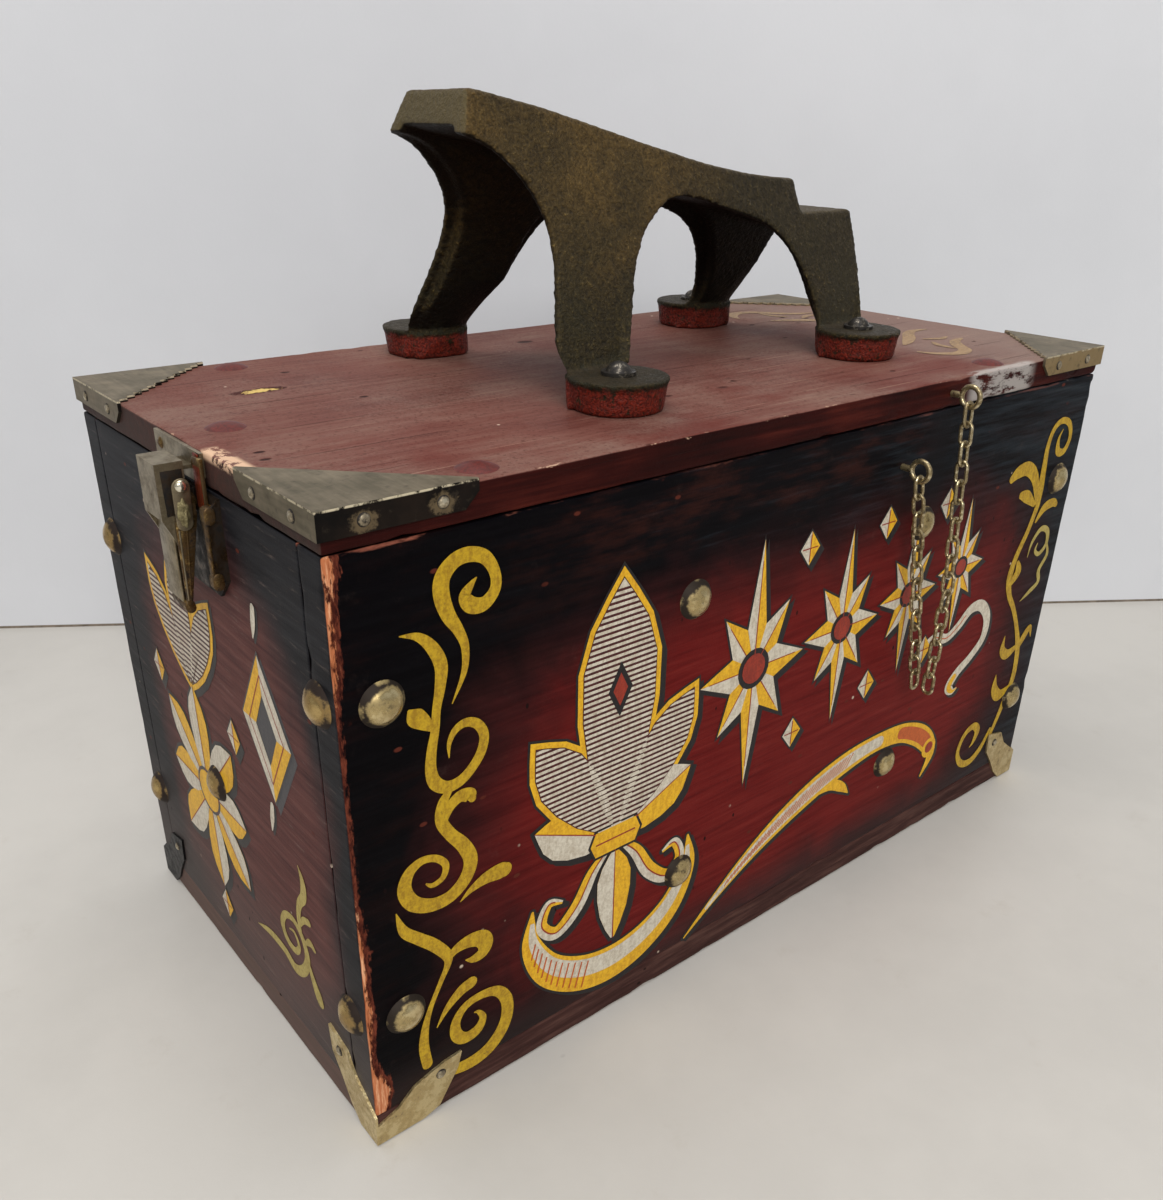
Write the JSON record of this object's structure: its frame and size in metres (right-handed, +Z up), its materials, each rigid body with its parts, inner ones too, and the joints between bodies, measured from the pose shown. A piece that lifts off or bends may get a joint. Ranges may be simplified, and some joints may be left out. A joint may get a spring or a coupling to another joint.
{
  "type": "shoe shine box",
  "caption": "Wooden shoe shine box with a hinged lid that carries a cast footrest, a draw latch and a stay chain.",
  "frame": {"origin": "centre of the underside of the bottom board, on the surface the box stands on", "axes": "+X along the box towards the hinged end, -X the latch end, -Y the decorated front, +Z up"},
  "size_m": [0.3467, 0.1826, 0.2744],
  "materials": {
    "painted_walls": "dark red and navy sign paint, worn",
    "painted_lid": "dull red-brown paint, scratched",
    "bare_wood": "raw board",
    "tarnished_brass": "tarnished",
    "dull_steel": "dull",
    "latch_metal": "tarnished plate",
    "dark_sheet_metal": "dark, paint worn through",
    "painted_tacks": "red paint",
    "footrest_casting": "dark bronze, rough sand casting"
  },
  "bodies": {
    "box": {"back_board": "painted_walls", "back_hinge_box_leaf": "tarnished_brass", "back_hinge_guard": "tarnished_brass", "back_latch_guard": "dark_sheet_metal", "back_tacks": "tarnished_brass", "bottom_board": "bare_wood", "bottom_nails": "dull_steel", "chain_box_eye": "dull_steel", "front_board": "painted_walls", "front_hinge_box_leaf": "tarnished_brass", "front_hinge_guard": "tarnished_brass", "front_latch_guard": "tarnished_brass", "front_tacks": "tarnished_brass", "guard_nails": "dull_steel", "hinge_box_screws": "tarnished_brass", "hinge_end_board": "painted_walls", "hinge_end_tacks": "tarnished_brass", "hinge_pins": "tarnished_brass", "hinge_side_divider": "bare_wood", "latch_base": "latch_metal", "latch_base_nails": "dull_steel", "latch_end_board": "painted_walls", "latch_end_tacks": "tarnished_brass", "latch_lever_pin": "dull_steel", "latch_side_divider": "bare_wood", "wall_nails": "dull_steel"},
    "lid": {"lid_board": "painted_lid", "lid_tacks": "painted_tacks", "front_latch_bracket": "dark_sheet_metal", "front_hinge_bracket": "dark_sheet_metal", "back_latch_bracket": "dark_sheet_metal", "back_hinge_bracket": "dark_sheet_metal", "bracket_nails": "dull_steel", "front_hinge_lid_leaf": "tarnished_brass", "back_hinge_lid_leaf": "tarnished_brass", "hinge_lid_screws": "tarnished_brass", "latch_strike": "latch_metal", "latch_strike_nails": "dull_steel", "chain_lid_eye": "dull_steel", "footrest": "footrest_casting", "footrest_bolts": "dull_steel", "footrest_top_washers": "dull_steel", "footrest_under_washers": "dull_steel", "footrest_nuts": "dull_steel"},
    "latch_lever": {"latch_lever": "latch_metal", "latch_hook_pin": "dull_steel"},
    "latch_hook": {"latch_hook": "latch_metal"},
    "lid_chain": {"chain_lid_strand": "dull_steel"},
    "box_chain": {"chain_box_strand": "dull_steel"}
  },
  "joints": [
    {"name": "lid_hinge", "type": "hinge", "parent": "box", "child": "lid", "pos_m": [0.1679, 0, 0.18145], "axis": [0, 1, 0], "range_deg": [0, 104]},
    {"name": "latch_lever", "type": "hinge", "parent": "box", "child": "latch_lever", "pos_m": [-0.1696, -0.009, 0.1768], "axis": [0, 1, 0], "range_deg": [-11, 105]},
    {"name": "latch_hook", "type": "hinge", "parent": "latch_lever", "child": "latch_hook", "pos_m": [-0.17082, -0.009, 0.16687], "axis": [0, 1, 0], "range_deg": [-105, 11]},
    {"name": "lid_chain_swing", "type": "hinge", "parent": "lid", "child": "lid_chain", "pos_m": [0.068, -0.0892, 0.183], "axis": [0, 1, 0], "range_deg": [-55, 0]},
    {"name": "box_chain_swing", "type": "hinge", "parent": "box", "child": "box_chain", "pos_m": [0.0457, -0.0892, 0.1616], "axis": [0, 1, 0], "range_deg": [-116, 0]}
  ],
  "couplings": [
    {"joint": "latch_hook", "follows": "latch_lever", "ratio": -1},
    {"joint": "lid_chain_swing", "follows": "lid_hinge", "ratio": -0.52519},
    {"joint": "box_chain_swing", "follows": "lid_hinge", "ratio": -1.109}
  ]
}
